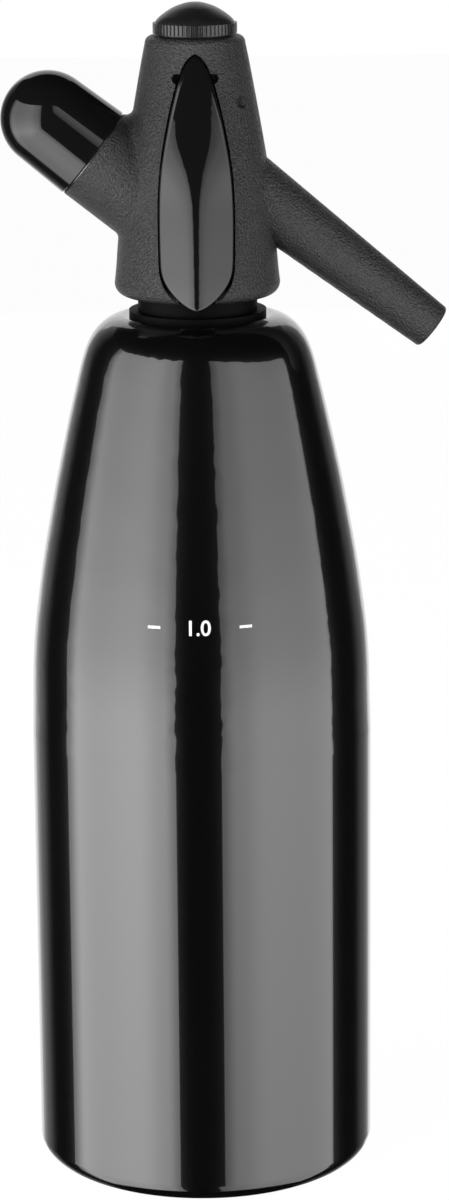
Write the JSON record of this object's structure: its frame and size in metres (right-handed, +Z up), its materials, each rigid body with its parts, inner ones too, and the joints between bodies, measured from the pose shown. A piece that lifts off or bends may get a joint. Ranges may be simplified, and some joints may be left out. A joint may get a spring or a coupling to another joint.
{
  "type": "soda siphon",
  "caption": "Soda siphon with a slim metal bottle, screw-on head with press lever, side spout, piercing charger holder, dip tube and spring-closed stem valve.",
  "frame": {"origin": "centre of the bottle's resting ring, on the table plane", "axes": "+Z up along the bottle, +X towards the spout, -Y towards the lever"},
  "size_m": [0.1185, 0.093, 0.3197],
  "materials": {
    "bottle": "gloss",
    "textured_black": "fine grained",
    "gloss_black": "gloss",
    "satin_black": "satin",
    "cast_metal": "cast and machined",
    "steel": "satin",
    "brass": "machined",
    "seal": "matte",
    "clear_tube": "natural"
  },
  "bodies": {
    "bottle": {"bottle": "bottle", "neck_collar": "satin_black"},
    "head": {"head_housing": "textured_black", "head_core": "cast_metal", "neck_gasket": "seal", "spout_tube": "steel", "spout_nozzle": "satin_black", "lever_pin": "steel", "valve_seat": "brass", "stem_seal": "seal", "gland_nut": "brass", "piercing_pin": "brass", "pin_gasket": "seal", "gas_nipple": "brass", "nipple_sleeve": "seal", "dip_tube": "clear_tube", "dip_tube_foot": "clear_tube", "dip_tube_ferrule": "clear_tube"},
    "lever": {"lever": "gloss_black"},
    "stem": {"valve_stem": "steel", "valve_washer": "seal", "washer_nut": "brass", "lift_collar": "brass", "valve_spring": "steel"},
    "cap": {"valve_cap": "satin_black", "cap_seal": "seal"},
    "holder": {"holder_cap": "gloss_black", "gas_charger": "steel"}
  },
  "joints": [
    {"name": "head_lift", "type": "slide", "parent": "bottle", "child": "head", "axis": [0, 0, 1], "range_m": [0, 0.26]},
    {"name": "lever_press", "type": "hinge", "parent": "head", "child": "lever", "pos_m": [0, -0.0105, 0.2942], "axis": [1, 0, 0], "range_deg": [0, 5], "stiffness_Nm_per_rad": 0.002, "springref_deg": -11.46},
    {"name": "stem_lift", "type": "slide", "parent": "head", "child": "stem", "axis": [0, 0, 1], "range_m": [0, 0.000916], "stiffness_N_per_m": 20, "springref_m": -0.003, "deforming": ["valve_spring"]},
    {"name": "cap_lift", "type": "slide", "parent": "head", "child": "cap", "axis": [0, 0, 1], "range_m": [0, 0.04]},
    {"name": "holder_pull", "type": "slide", "parent": "head", "child": "holder", "axis": [-0.7859, 0, 0.6184], "range_m": [0, 0.08]}
  ],
  "couplings": [
    {"joint": "lever_press", "follows": "stem_lift", "rad_per_m": 95.238}
  ]
}
